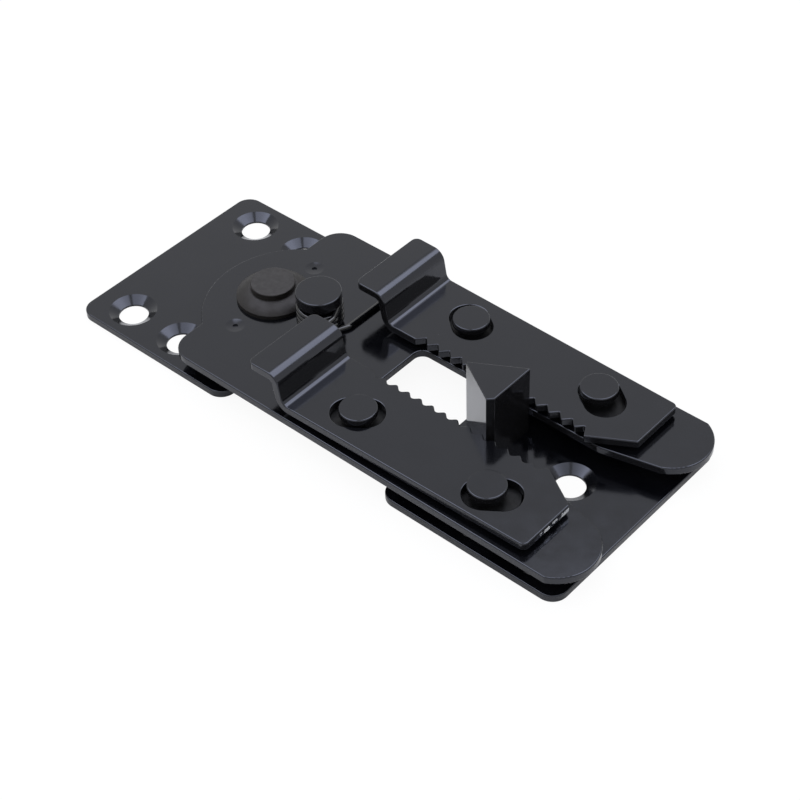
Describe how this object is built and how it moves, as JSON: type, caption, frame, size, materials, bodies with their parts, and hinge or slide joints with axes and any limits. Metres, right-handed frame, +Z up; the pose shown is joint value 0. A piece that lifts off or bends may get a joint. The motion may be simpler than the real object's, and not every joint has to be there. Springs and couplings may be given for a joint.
{
  "type": "sectional sofa connector",
  "caption": "Two-part black steel connector for sofa sections: a swivelling fork plate whose sprung toothed jaws hold an upright wedge on a screw-down striker plate.",
  "frame": {"origin": "on the swivel axis, in the plane of the undersides that both plates are screwed down on", "axes": "+X from the mounting plate towards the striker, +Y across towards the back jaw, +Z up out of the screw plates"},
  "size_m": [0.1521, 0.06, 0.0208],
  "materials": {
    "black_paint": "gloss",
    "dark_steel": "satin",
    "black_wire": "gloss"
  },
  "bodies": {
    "mount": {"mounting_plate": "black_paint", "pivot_spacer": "dark_steel", "pivot_washer": "dark_steel", "pivot_rivet": "dark_steel"},
    "swivel": {"swivel_plate": "black_paint", "spring_post": "black_paint", "torsion_spring": "black_wire", "guide_stud_front_left": "black_paint", "guide_stud_front_right": "black_paint", "guide_stud_back_left": "black_paint", "guide_stud_back_right": "black_paint", "jaw_washer_front_left": "black_paint", "jaw_washer_front_right": "black_paint", "jaw_washer_back_left": "black_paint", "jaw_washer_back_right": "black_paint"},
    "front_jaw": {"front_jaw": "black_paint"},
    "back_jaw": {"back_jaw": "black_paint"},
    "striker": {"striker_plate": "black_paint", "striker_wedge": "black_paint"}
  },
  "joints": [
    {"name": "swivel_turn", "type": "hinge", "parent": "mount", "child": "swivel", "pos_m": [0, 0, 0.0065], "axis": [0, 0, 1], "continuous": true},
    {"name": "front_jaw_slide", "type": "slide", "parent": "swivel", "child": "front_jaw", "axis": [-0.8192, -0.5736, 0], "range_m": [0, 0.0025], "stiffness_N_per_m": 800, "springref_m": -0.005, "deforming": ["torsion_spring"]},
    {"name": "back_jaw_slide", "type": "slide", "parent": "swivel", "child": "back_jaw", "axis": [-0.8192, 0.5736, 0], "range_m": [0, 0.0025], "stiffness_N_per_m": 800, "springref_m": -0.005, "deforming": ["torsion_spring"]},
    {"name": "striker_lift", "type": "slide", "parent": "swivel", "child": "striker", "axis": [0, 0, 1], "range_m": [-0.018, 0.003]}
  ]
}
